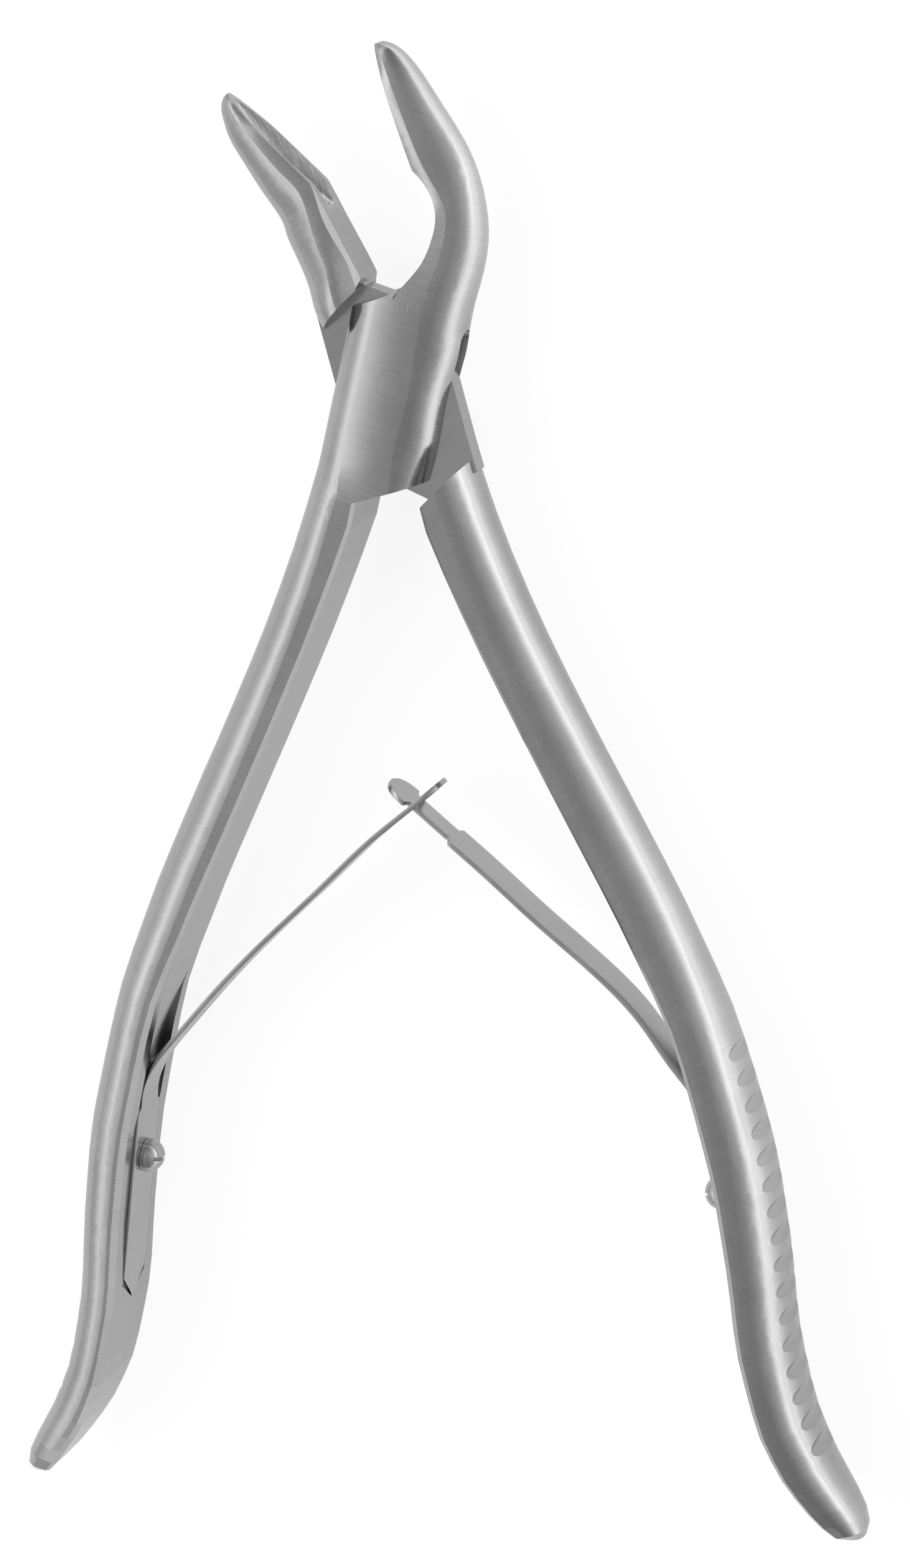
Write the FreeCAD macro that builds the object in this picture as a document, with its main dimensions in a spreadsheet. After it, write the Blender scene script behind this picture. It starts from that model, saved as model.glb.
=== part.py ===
import FreeCAD, Part
import math
import os

# Bone rongeur with a box joint and two crossed leaf springs, open at rest.
# Z is the axis of the joint, Y points to the jaws, X to the right.
# The origin lies on that axis, on the flat underside of the box.
# Both halves are drawn closed about the mid-plane, then turned open by half
# of the swing: the slotted half clockwise, the tongue half the other way.

os.makedirs("parts", exist_ok=True)
doc = FreeCAD.newDocument("BoneRongeur")
sheet = doc.addObject("Spreadsheet::Sheet", "Sizes")

SIZES = [
    # joint
    ("swing", 28.6),            # degrees between the closed and the open jaws
    ("box_thickness", 13.0),
    ("box_left", 9.6),          # joint axis to the left side of the box
    ("box_right", 7.9),
    ("box_corner", 5.6),        # rounding along the long edges of the box
    ("box_top", 12.3),          # joint axis to the slanted upper end of the box
    ("box_bottom", 15.4),
    ("shoulder_gap", 0.35),
    ("tongue_thickness", 3.6),
    ("tongue_gap", 0.06),
    ("pin_diameter", 4.0),
    ("pin_gap", 0.05),
    # jaws
    ("edge_length", 19.0),      # cutting edge, heel to tip
    ("edge_lean", 32.7),        # degrees to the left of Y
    ("heel_height", 30.4),
    ("heel_side", 4.65),
    ("jaw_depth", 8.1),         # back of the jaw to the cutting edge, at the heel
    ("jaw_thickness", 8.4),
    ("rim_width", 6.7),
    ("shank_flat", 7.4),        # inner flat of the tongue half's shank
    ("shank_bevel", 0.65),
    ("cup_width", 6.2),
    ("cup_length", 25.0),
    ("cup_front", 1.2),         # tip of the jaw to the front end of the cup
    ("cup_widest", 0.42),
    ("edge_gap", 0.06),         # left between the cutting edges when closed
    ("heel_relief", 0.3),       # more of it at the heel, so the tips meet first
    ("box_skin", 0.03),         # on the box's flat faces before they are cut flat
    ("box_bevel", 0.4),
    # handles
    ("reach_left", 186.7),      # joint axis to the end of a handle, along Y
    ("reach_right", 185.3),
    ("handle_bow", 23.6),       # outermost line of a handle from the centre line
    ("handle_width", 8.0),
    ("grip_thickness", 17.2),
    ("handle_bevel", 0.9),
    ("shoulder_shift", 0.25),   # the handles' upper ends lie this much further left
    ("grip_shift", 0.9),        # both grips lie this much to the right of the centre line
    ("left_notch_start", 108.816),   # joint axis to the first notch, in line with the grip
    ("right_notch_start", 108.0),
    ("notch_pitch", 4.1),
    ("notch_count", 16),
    ("notch_width", 2.7),
    ("notch_depth", 0.9),
    # leaf springs and their screws
    ("leaf_thickness", 0.75),
    ("leaf_width", 6.8),
    ("foot_width", 8.8),
    ("left_foot_point", 153.6522),   # joint axis to the pointed lower end of a leaf
    ("right_foot_point", 152.5),
    ("left_foot_shoulder", 121.9142),
    ("right_foot_shoulder", 121.0),
    ("foot_vee", 4.0),
    ("seat_depth", 0.6),        # shallow seat of a leaf in its handle
    ("seat_gap", 0.15),
    ("leaf_rest", 0.05),        # running gap under a leaf and under its screw head
    ("bend_start", 1.5),        # shoulder of the foot to the start of the bend
    ("left_seat_start", 96.7253),
    ("right_seat_start", 96.0),
    ("window_length", 12.0),    # long window of the left leaf
    ("window_width", 4.7),
    ("neck_width", 4.2),
    ("neck_length", 7.6),
    ("head_length", 4.8),
    ("left_screw_station", 130.3777),
    ("right_screw_station", 129.4),
    ("screw_head", 5.2),
    ("screw_dome", 3.1),
    ("screw_drive", 0.6),       # width of the driver slot
    ("screw_drive_depth", 1.0),
    ("screw_shank", 2.6),
    ("screw_length", 4.2),
    ("screw_gap", 0.1),
]

for row, (alias, number) in enumerate(SIZES, start=1):
    sheet.set("A%d" % row, alias)
    sheet.set("B%d" % row, str(number))
    sheet.setAlias("B%d" % row, alias)
doc.recompute()


def size(alias):
    return float(sheet.get(alias))


halfBox = size("box_thickness") / 2
halfGrip = size("grip_thickness") / 2
halfTongue = size("tongue_thickness") / 2
halfSwing = size("swing") / 2
pinRadius = size("pin_diameter") / 2
reach = {-1: size("reach_left"), 1: size("reach_right")}
bow = size("handle_bow")
Vector = FreeCAD.Vector
axisZ = Vector(0, 0, 1)


# small builders

def keep(name, shape):
    made = doc.addObject("Part::Feature", name)
    made.Shape = shape
    return made


def cut(name, base, tool):
    made = doc.addObject("Part::Cut", name)
    made.Base = base
    made.Tool = tool
    return made


def join(name, shapes):
    made = doc.addObject("Part::MultiFuse", name)
    made.Shapes = shapes
    return made


def common(name, shapes):
    made = doc.addObject("Part::MultiCommon", name)
    made.Shapes = shapes
    return made


def outline(name, points):
    # closed flat outline through points of the XY plane
    loop = [Vector(x, y, 0) for x, y in points]
    return keep(name, Part.Face(Part.makePolygon(loop + loop[:1])))


def slab(name, face, direction, forward, backward):
    # the face swept both ways along a direction; the lengths are formulas
    made = doc.addObject("Part::Extrusion", name)
    made.Base = face
    made.DirMode = "Custom"
    made.Dir = direction
    made.Solid = True
    made.setExpression("LengthFwd", forward)
    made.setExpression("LengthRev", backward)
    return made


def quarter(start, corner, end, square):
    # rounding between two tangents, fuller as square nears one
    curve = Part.BezierCurve()
    curve.setPoles([start, start + (corner - start) * square, end + (corner - end) * square, end])
    return curve.toShape()


def section(name, inner, outer, rim, bevel, half, corner, square):
    # D-shaped section across a half: flat inner face with bevelled edges,
    # then the front face rising to its full half thickness and a rounded back
    start = Vector(inner[0], inner[1], 0)
    along = Vector(outer[0], outer[1], 0) - start
    depth = along.Length
    along.normalize()
    corner = min(corner, depth - bevel - 0.02)

    def at(u, z):
        return start + along * u + axisZ * z

    third = (depth - corner - bevel) / 3

    def rise(sign):
        # from the lip of the bevel up to the full thickness
        curve = [at(bevel, sign * (rim + bevel)),
                 at(bevel + third, sign * (rim + bevel + (half - rim - bevel) * 0.45)),
                 at(bevel + 2 * third, sign * half),
                 at(depth - corner, sign * half)]
        made = Part.BezierCurve()
        made.setPoles(curve if sign > 0 else curve[::-1])
        return made.toShape()

    upCrown = at(depth - corner, half)
    downCrown = at(depth - corner, -half)
    back = at(depth, 0)
    edges = [Part.makeLine(at(0, -rim), at(0, rim)),
             Part.makeLine(at(0, rim), at(bevel, rim + bevel)),
             rise(1),
             quarter(upCrown, at(depth, half), back, square),
             quarter(back, at(depth, -half), downCrown, square),
             rise(-1),
             Part.makeLine(at(bevel, -rim - bevel), at(0, -rim))]
    return keep(name, Part.Wire(edges))


def loft(name, sections, straight):
    made = doc.addObject("Part::Loft", name)
    made.Sections = sections
    made.Solid = True
    made.Ruled = straight
    return made


def between(rows, count, bunch):
    # evenly graded rows along a chain of sections, each column running smoothly
    # and without overshoot; bunch over one draws them together at the far end
    mids = [Vector((row[0] + row[2]) / 2, (row[1] + row[3]) / 2, 0) for row in rows]
    run = [0.0]
    for before, after in zip(mids, mids[1:]):
        run.append(run[-1] + (after - before).Length)
    last = len(rows) - 1
    slopes = []
    for column in zip(*rows):
        rises = [(column[i + 1] - column[i]) / (run[i + 1] - run[i]) for i in range(last)]
        slope = [rises[0]]
        for i in range(1, last):
            agree = rises[i - 1] * rises[i] > 0
            slope.append(2 * rises[i - 1] * rises[i] / (rises[i - 1] + rises[i]) if agree else 0.0)
        slopes.append(slope + [rises[-1]])
    made = []
    for step in range(count + 1):
        at = run[-1] * (1 - (1 - step / count) ** bunch)
        i = min(last - 1, max(j for j in range(last + 1) if run[j] <= at + 1e-9))
        wide = run[i + 1] - run[i]
        u = (at - run[i]) / wide
        row = []
        for column, slope in zip(zip(*rows), slopes):
            row.append((2 * u ** 3 - 3 * u ** 2 + 1) * column[i]
                       + (u ** 3 - 2 * u ** 2 + u) * wide * slope[i]
                       + (3 * u ** 2 - 2 * u ** 3) * column[i + 1]
                       + (u ** 3 - u ** 2) * wide * slope[i + 1])
        made.append(row)
    return made


def skin(name, rows, count, bunch, straight):
    # rows: inner x, y, outer x, y, flat half width, bevel, half thickness, corner, squareness
    sections = []
    for index, row in enumerate(between(rows, count, bunch)):
        sections.append(section("%sSection%d" % (name, index), row[0:2], row[2:4], *row[4:]))
    return loft(name, sections, straight)


# outlines shared by both halves, all drawn closed

lean = math.radians(size("edge_lean"))
edgeWay = Vector(-math.sin(lean), math.cos(lean), 0)
edgeOut = Vector(math.cos(lean), math.sin(lean), 0)
heel = Vector(-size("heel_side"), size("heel_height"), 0)
tip = heel + edgeWay * size("edge_length")

# share of the edge from the tip, depth, rim and thickness as shares of their full sizes
JAW = [
    (0.008, 0.15, 0.10, 0.16),
    (0.07, 0.35, 0.36, 0.40),
    (0.23, 0.56, 0.70, 0.69),
    (0.44, 0.71, 0.96, 0.86),
    (0.70, 0.86, 1.0, 0.96),
    (1.0, 1.03, 1.0, 1.02),
]

# share of the reach, outer line as a share of the bow, width as a share of the
# handle width, blend from box to grip thickness, end taper, rounded part of the width
HANDLE = [
    (0.122, 0.384, 1.10, -0.03, 1.0, 0.62),
    (0.159, 0.415, 1.07, -0.03, 1.0, 0.66),
    (0.223, 0.492, 1.05, -0.03, 1.0, 0.70),
    (0.297, 0.608, 1.05, -0.03, 1.0, 0.72),
    (0.387, 0.764, 1.06, 0.0, 1.0, 0.74),
    (0.478, 0.905, 1.03, 0.16, 1.0, 0.76),
    (0.573, 0.993, 0.95, 0.66, 1.0, 0.78),
    (0.658, 1.0, 0.97, 0.92, 1.0, 0.80),
    (0.748, 0.931, 0.95, 1.0, 1.0, 0.80),
    (0.833, 0.830, 0.90, 1.0, 0.99, 0.80),
    (0.881, 0.815, 0.87, 1.0, 0.96, 0.78),
    (0.929, 0.866, 0.85, 1.0, 0.87, 0.75),
    (0.961, 0.934, 0.79, 1.0, 0.76, 0.70),
    (0.982, 0.971, 0.68, 1.0, 0.62, 0.64),
    (0.994, 0.970, 0.51, 1.0, 0.46, 0.58),
    (0.9995, 0.945, 0.24, 1.0, 0.25, 0.50),
]

boxShift = (size("box_left") - size("box_right")) / 2


def fade(share):
    # the box sits left of the centre line by boxShift, the grips right of it
    part = min(1.0, max(0.0, (share - 0.06) / 0.75))
    part = part * part * (3 - 2 * part)
    return (boxShift + size("shoulder_shift")) * (1 - part) - size("grip_shift") * part


def handleLine(side, row):
    share, outerShare, widthShare, blend, taper, rounded = row
    outer = bow * outerShare - side * fade(share)
    inner = outer - size("handle_width") * widthShare
    return side * inner, side * outer, -reach[side] * share


def station(side, alias):
    # distance of a feature of one side from the joint axis, along Y
    return size(("left_" if side < 0 else "right_") + alias)


def flatAt(side, height):
    # inner flat face of a handle at a height below the joint axis
    lines = [handleLine(side, row) for row in HANDLE]
    for upper, lower in zip(lines, lines[1:]):
        if lower[2] <= height <= upper[2]:
            part = (height - upper[2]) / (lower[2] - upper[2])
            return upper[0] + (lower[0] - upper[0]) * part
    return lines[0][0]


def handle(name, side, boxOuter):
    # loft of one handle, from inside the box down to its rounded end
    spare = size("box_skin")
    edge = size("box_bevel")
    rows = []
    for y in (halfBox * 1.9, 0.0, -size("box_bottom") * 1.1):
        inner = -side * 0.5
        if y < 0:
            inner = side * (bow * 0.397 - side * fade(-y / reach[side]) - size("handle_width") * 1.12)
        rows.append((inner, y, side * boxOuter, y, halfBox + spare - edge, edge, halfBox + spare,
                     size("box_corner"), 0.58))
    for row in HANDLE:
        share, outerShare, widthShare, blend, taper, rounded = row
        inner, outer, y = handleLine(side, row)
        half = (halfBox + (halfGrip - halfBox) * blend) * taper
        wide = abs(outer - inner)
        bevel = min(size("handle_bevel") * (0.6 + 0.4 * max(blend, 0.0)) * taper, wide * 0.3)
        rows.append((inner, y, outer, y, half - bevel, bevel, half, wide * rounded,
                     0.58 + 0.08 * max(blend, 0.0)))
    return skin(name + "HandleSkin", rows, 38, 1.35, True)


def jawRows(side, spare):
    # the jaw proper: its inner face runs a little past the cutting plane
    rows = []
    for share, depth, rim, thick in JAW:
        foot = tip - edgeWay * (size("edge_length") * share)
        inner = foot - edgeOut * (side * spare)
        outer = foot + edgeOut * (side * size("jaw_depth") * depth)
        rows.append((inner.x, inner.y, outer.x, outer.y, size("rim_width") / 2 * rim, spare + 0.02,
                     size("jaw_thickness") / 2 * thick, size("jaw_depth") * depth * 0.74, 0.58))
    return rows[::-1]


# slanted ends of the box and the shoulders that meet them, given by their
# distance from the joint axis and the way they face
topWay = Vector(-0.533, 0.846, 0)
topWay.normalize()
bottomWay = Vector(0.498, -0.867, 0)
bottomWay.normalize()


def halfPlane(name, way, distance, keepOutside):
    # large plate on one side of a slanted line, as a cutting tool
    across = Vector(-way.y, way.x, 0)
    near = way * distance
    far = way * (distance + 40.0) if keepOutside else way * (distance - 40.0)
    loop = [near + across * 30, near - across * 30, far - across * 30, far + across * 30]
    return outline(name, [(point.x, point.y) for point in loop])


plateUp = "Sizes.grip_thickness"

# cup of both jaws: a slim spindle on the cutting edge, widest at cup_widest of its length
cupWide = size("cup_width") / 2
cupLong = size("cup_length")
cupFront = tip - edgeWay * size("cup_front")
cupRear = cupFront - edgeWay * cupLong
cupCrest = cupFront - edgeWay * (cupLong * size("cup_widest")) + edgeOut * cupWide


def cupArc(end, crest):
    # arc from the axis of the cup to its widest point, level with the axis there
    run = (end - crest).dot(edgeWay)
    radius = (run ** 2 + cupWide ** 2) / (2 * cupWide)
    half = math.asin(run / radius) / 2
    middle = crest + edgeOut * (radius * (math.cos(half) - 1)) + edgeWay * (radius * math.sin(half))
    return Part.Arc(end, middle, crest).toShape()


cupEdges = [cupArc(cupFront, cupCrest), cupArc(cupRear, cupCrest), Part.makeLine(cupRear, cupFront)]
cupFace = keep("CupFace", Part.Face(Part.Wire(cupEdges)))
cup = doc.addObject("Part::Revolution", "Cup")
cup.Source = cupFace
cup.Base = tip
cup.Axis = edgeWay
cup.Angle = 360.0
cup.Solid = False

# slotted half: box, right-hand jaw and left-hand handle

leftSkin = handle("Female", -1, size("box_left"))
right = size("box_right")
femaleWay = [
    # inner and outer end of each section, half thickness, rim, squareness of the back
    ((-3.5, -20.0), (right, -20.0), halfBox + size("box_skin"), size("box_bevel"), size("box_corner"), 0.58),
    ((-3.5, -8.0), (right, -8.0), halfBox + size("box_skin"), size("box_bevel"), size("box_corner"), 0.58),
    ((-3.5, 4.0), (right, 4.0), halfBox + size("box_skin"), size("box_bevel"), size("box_corner"), 0.58),
    ((-3.2, 12.0), (right, 12.0), halfBox + size("box_skin"), size("box_bevel"), size("box_corner") * 1.1, 0.58),
]
shankWay = [
    ((-0.35, 17.6), (right + 0.1, 17.2), 0.91, 0.62, 0.58),
    ((0.45, 22.0), (right, 22.8), 0.80, 0.66, 0.58),
    ((0.2, 25.6), (right - 1.3, 27.3), 0.71, 0.70, 0.58),
    ((-1.9, 28.6), (right - 3.65, 31.7), 0.655, 0.72, 0.58),
]
femaleRows = [(inner[0], inner[1], outer[0], outer[1], half - bevel, bevel, half, corner, square)
              for inner, outer, half, bevel, corner, square in femaleWay]
for inner, outer, thick, rounded, square in shankWay:
    depth = math.hypot(outer[0] - inner[0], outer[1] - inner[1])
    bevel = size("shank_bevel") / 2
    femaleRows.append((inner[0], inner[1], outer[0], outer[1], halfBox * thick - bevel - 0.15,
                       bevel, halfBox * thick, depth * rounded, square))
rightSkin = skin("FemaleJawSkin", femaleRows + jawRows(1, 0.15), 14, 1.5, False)

belowBox = slab("BelowBox", halfPlane("BelowBoxLine", bottomWay, size("box_bottom"), True),
                axisZ, plateUp, plateUp)
rightBody = cut("FemaleRight", rightSkin, belowBox)
femaleSkin = join("FemaleSkin", [leftSkin, rightBody])

# everything left of the inner line of the slotted half's jaw
arcA = Vector(-1.9, 13.37, 0)
line = [Vector(-1.0, 15.0, 0), Vector(0.55, 18.3, 0), Vector(1.1, 21.8, 0), Vector(0.8, 25.2, 0),
        Vector(-1.1, 28.3, 0)]
across = Vector(-topWay.y, topWay.x, 0)
cornerAlong = (arcA - topWay * size("box_top")).dot(across)
arcStart = topWay * size("box_top") + across * cornerAlong
farLeft = topWay * size("box_top") + across * 30.0
innerArc = Part.BSplineCurve()
femaleHeel = heel + edgeOut * (size("edge_gap") / 2 + size("heel_relief"))
innerArc.interpolate([arcStart] + line + [femaleHeel])
femaleTip = tip + edgeOut * (size("edge_gap") / 2)
beyond = femaleTip + (femaleTip - femaleHeel) * 0.7
loopEdges = [innerArc.toShape(),
             Part.makeLine(femaleHeel, beyond),
             Part.makeLine(beyond, farLeft + Vector(-5, 40, 0)),
             Part.makeLine(farLeft + Vector(-5, 40, 0), farLeft),
             Part.makeLine(farLeft, arcStart)]
windowFace = keep("FemaleInnerLine", Part.Face(Part.Wire(loopEdges)))
femaleWindow = slab("FemaleWindow", windowFace, axisZ, plateUp, plateUp)
femaleTrimmed = cut("FemaleTrimmed", femaleSkin, femaleWindow)

# flat faces of the box
plates = []
for name, level in (("PlateAbove", "Sizes.box_thickness / 2"),
                    ("PlateBelow", "-Sizes.box_thickness / 2 - 2")):
    plate = doc.addObject("Part::Box", name)
    plate.Length = 60
    plate.Height = 2
    plate.setExpression("Width", "Sizes.box_bottom * 1.6 + Sizes.box_top * 1.35")
    plate.Placement.Base = Vector(-30, 0, 0)
    plate.setExpression("Placement.Base.y", "-Sizes.box_bottom * 1.6")
    plate.setExpression("Placement.Base.z", level)
    plates.append(plate)
platePair = join("Plates", plates)
femaleFlat = cut("FemaleFlat", femaleTrimmed, platePair)

# slot for the tongue, open at both slanted ends and through both sides
slotTop = Vector(-1.3, 15.3, 0)
slotLine = [(-14.0, 16.4), (slotTop.x - 0.1, 16.4), (slotTop.x, slotTop.y), (4.9, 11.95), (7.2, 7.6),
            (14.0, 7.6), (14.0, -24.0), (1.2, -24.0), (-0.5, -18.9), (-7.6, -13.0), (-9.0, -11.2),
            (-14.0, -11.2)]
slot = slab("Slot", outline("SlotLine", slotLine), axisZ,
            "Sizes.tongue_thickness / 2 + Sizes.tongue_gap",
            "Sizes.tongue_thickness / 2 + Sizes.tongue_gap")
slotEnd = doc.addObject("Part::Cylinder", "SlotEnd")
slotEnd.setExpression("Radius", "Sizes.tongue_thickness / 2 + Sizes.tongue_gap")
slotEnd.Height = 8.0
slotEnd.Placement = FreeCAD.Placement(Vector(6.2, 7.6, 0), FreeCAD.Rotation(Vector(0, 1, 0), 90))
slotTool = join("SlotTool", [slot, slotEnd])
femaleSlotted = cut("FemaleSlotted", femaleFlat, slotTool)


def throughHole(name, radius):
    hole = doc.addObject("Part::Cylinder", name)
    hole.setExpression("Radius", radius)
    hole.setExpression("Height", "Sizes.box_thickness + 4")
    hole.setExpression("Placement.Base.z", "-Sizes.box_thickness / 2 - 2")
    return hole


femaleBored = cut("FemaleBored", femaleSlotted, throughHole("PinHole", "Sizes.pin_diameter / 2"))


# grip notches, spring seats and screw holes of a handle

def notches(name, side):
    cutters = []
    chord = size("notch_width") / 2
    depth = size("notch_depth")
    radius = (chord ** 2 + depth ** 2) / (2 * depth)
    lines = [handleLine(side, row) for row in HANDLE]
    ys = [row[2] for row in lines][::-1]
    xs = [row[1] for row in lines][::-1]
    outerCurve = Part.BSplineCurve()
    outerCurve.interpolate([Vector(x, y, 0) for x, y in zip(xs, ys)])
    for index in range(int(size("notch_count"))):
        y = -station(side, "notch_start") - size("notch_pitch") * index
        crossing = outerCurve.toShape().distToShape(
            Part.makeLine(Vector(side * 2, y, 0), Vector(side * (bow + 20), y, 0)))
        x = crossing[1][0][0].x
        cutter = doc.addObject("Part::Cylinder", "%sNotch%d" % (name, index))
        cutter.Radius = radius
        cutter.setExpression("Height", "Sizes.grip_thickness + 4")
        cutter.Placement.Base = Vector(x + side * (radius - depth), y, 0)
        cutter.setExpression("Placement.Base.z", "-Sizes.grip_thickness / 2 - 2")
        cutters.append(cutter)
    return join(name + "Notches", cutters)


def seatLine(side):
    # straight floor of the seat: shallow at the point of the foot, deeper above
    foot = -station(side, "foot_point")
    shoulder = -station(side, "foot_shoulder")
    low = Vector(flatAt(side, foot) + side * size("seat_depth") * 0.8, foot, 0)
    high = Vector(flatAt(side, shoulder) + side * size("seat_depth") * 1.3, shoulder, 0)
    return low, high


def seat(name, side):
    low, high = seatLine(side)
    way = high - low
    way.normalize()
    start = -station(side, "seat_start")
    top = Vector(flatAt(side, start), start, 0)
    floorEnd = low - way * 3.0
    shoulder = high + way * 6.5
    run = Part.BSplineCurve()
    run.interpolate([shoulder, Vector((shoulder.x + top.x) / 2 + side * 0.45,
                                      (shoulder.y + top.y) / 2, 0), top])
    inside = Vector(-side * 9.0, 0, 0)
    edges = [Part.makeLine(floorEnd, shoulder), run.toShape(), Part.makeLine(top, top + inside),
             Part.makeLine(top + inside, floorEnd + inside), Part.makeLine(floorEnd + inside, floorEnd)]
    profile = keep(name + "SeatProfile", Part.Face(Part.Wire(edges)))
    body = slab(name + "SeatBody", profile, axisZ, "Sizes.foot_width / 2 + Sizes.seat_gap",
                "Sizes.foot_width / 2 + Sizes.seat_gap")
    wide = size("foot_width") / 2 + size("seat_gap")
    apex = -station(side, "foot_point") - size("seat_gap") * 1.5
    base = apex + size("foot_vee")
    loop = [Vector(-side * 2, apex, 0), Vector(-side * 2, base, wide + 1), Vector(-side * 2, -80, wide + 1),
            Vector(-side * 2, -80, -wide - 1), Vector(-side * 2, base, -wide - 1)]
    plan = keep(name + "SeatPlan", Part.Face(Part.makePolygon(loop + loop[:1])))
    planBody = slab(name + "SeatPlanBody", plan, Vector(side, 0, 0), "Sizes.handle_bow + 10", "0.0")
    return common(name + "Seat", [body, planBody])


def screwPlace(side):
    # frame of a screw: its Z points from the handle to the centre line
    low, high = seatLine(side)
    way = high - low
    way.normalize()
    level = (-station(side, "screw_station") - low.y) / way.y
    spot = low + way * level
    out = Vector(-way.y, way.x, 0) if side > 0 else Vector(way.y, -way.x, 0)
    return FreeCAD.Placement(spot, FreeCAD.Rotation(axisZ, out))


def screwHole(name, side):
    hole = doc.addObject("Part::Cylinder", name + "ScrewHole")
    hole.setExpression("Radius", "Sizes.screw_shank / 2")
    hole.setExpression("Height", "Sizes.screw_length + 1")
    place = screwPlace(side)
    hole.Placement = place.multiply(FreeCAD.Placement(Vector(0, 0, -size("screw_length")),
                                                      FreeCAD.Rotation()))
    return hole


def finish(name, base, side):
    grooved = cut(name + "Grooved", base, notches(name, side))
    seated = cut(name + "Seated", grooved, seat(name, side))
    return cut(name + "Drilled", seated, screwHole(name, side))


def openTurn(side):
    # from the closed drawing to the open position, underside of the box at zero
    return FreeCAD.Placement(Vector(0, 0, halfBox), FreeCAD.Rotation(axisZ, side * halfSwing))


femaleHalf = cut("FemaleHalf", finish("Female", femaleBored, -1), cup)
femaleHalf.Label = "female_half"
femaleHalf.Placement = openTurn(-1)

# tongue half: left-hand jaw, thin tongue and right-hand handle

gap = size("shoulder_gap")
maleHandleSkin = handle("Male", 1, size("box_right") - 0.4)
aboveShoulder = slab("AboveShoulder",
                     halfPlane("LowerShoulder", bottomWay, size("box_bottom") + gap, False),
                     axisZ, plateUp, plateUp)
maleHandle = cut("MaleHandle", maleHandleSkin, aboveShoulder)

left = size("box_left")
maleShank = [
    # inner and outer end, half thickness as a share of the box's, rounded part, squareness
    ((0.75, 8.5), (-left - 0.05, 5.5), 1.004, 0.50, 0.58),
    ((-0.35, 13.0), (-left - 0.2, 10.8), 0.995, 0.52, 0.58),
    ((-1.45, 17.6), (-left - 0.5, 16.0), 0.93, 0.56, 0.58),
    ((-2.3, 20.9), (-left - 1.1, 20.0), 0.84, 0.60, 0.58),
    ((-3.45, 25.2), (-left - 1.9, 23.6), 0.74, 0.66, 0.58),
]
maleRows = []
for inner, outer, thick, rounded, square in maleShank:
    depth = math.hypot(outer[0] - inner[0], outer[1] - inner[1])
    maleRows.append((inner[0], inner[1], outer[0], outer[1], size("shank_flat") / 2 - 0.1,
                     size("shank_bevel") + 0.1, halfBox * thick, depth * rounded, square))
maleJawSkin = skin("MaleJawSkin", maleRows + jawRows(-1, 0.12), 12, 1.5, False)
belowShoulder = slab("BelowShoulder",
                     halfPlane("UpperShoulder", topWay, size("box_top") + gap + 0.45, False),
                     axisZ, plateUp, plateUp)
maleJawRaw = cut("MaleJawRaw", maleJawSkin, belowShoulder)
shankFoot = Vector(-1.1, 15.7, 0)
shankEnd = Vector(-2.05, 14.4, 0)
maleHeel = heel - edgeOut * (size("edge_gap") / 2)
maleFar = maleHeel + edgeWay * (size("edge_length") * 1.6)
maleLoop = [(shankEnd.x + 1.5, 4.0), (shankEnd.x, 13.6), (shankEnd.x, shankEnd.y), (shankFoot.x, shankFoot.y),
            (maleHeel.x, maleHeel.y), (maleFar.x, maleFar.y), (40.0, maleFar.y), (40.0, 4.0)]
maleWindow = slab("MaleWindow", outline("MaleInnerLine", maleLoop), axisZ, plateUp, plateUp)
maleJaw = cut("MaleJaw", maleJawRaw, maleWindow)

tongueRight = size("box_right") - 0.2
tongueLeft = size("box_left") + 0.35
tongueLine = [(-tongueLeft, 11.6), (-5.4, 15.0), (-2.1, 15.7), (-1.5, 14.5), (3.6, 11.3), (6.6, 7.2),
              (tongueRight, 6.0), (tongueRight, -11.0), (tongueRight + 0.1, -15.6), (2.0, -19.6),
              (0.0, -18.6), (-1.1, -17.7), (-4.1, -15.4), (-8.3, -11.6), (-tongueLeft, -8.4)]
tongue = slab("Tongue", outline("TongueLine", tongueLine), axisZ, "Sizes.tongue_thickness / 2",
              "Sizes.tongue_thickness / 2")
maleSkin = join("MaleSkin", [maleHandle, maleJaw, tongue])
maleFlat = cut("MaleFlat", maleSkin, platePair)
maleBored = cut("MaleBored", maleFlat, throughHole("RunningBore", "Sizes.pin_diameter / 2 + Sizes.pin_gap"))
maleHalf = cut("MaleHalf", finish("Male", maleBored, 1), cup)
maleHalf.Label = "male_half"
maleHalf.Placement = openTurn(1)

# rivet pin, ground flush with both faces of the box
pin = doc.addObject("Part::Cylinder", "PivotPin")
pin.setExpression("Radius", "Sizes.pin_diameter / 2")
pin.setExpression("Height", "Sizes.box_thickness")
pin.Label = "pivot_pin"
pin.Placement = FreeCAD.Placement(Vector(0, 0, 0), FreeCAD.Rotation())


# leaf springs: a ribbon bent in its own plane, cut to its plan afterwards

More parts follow.
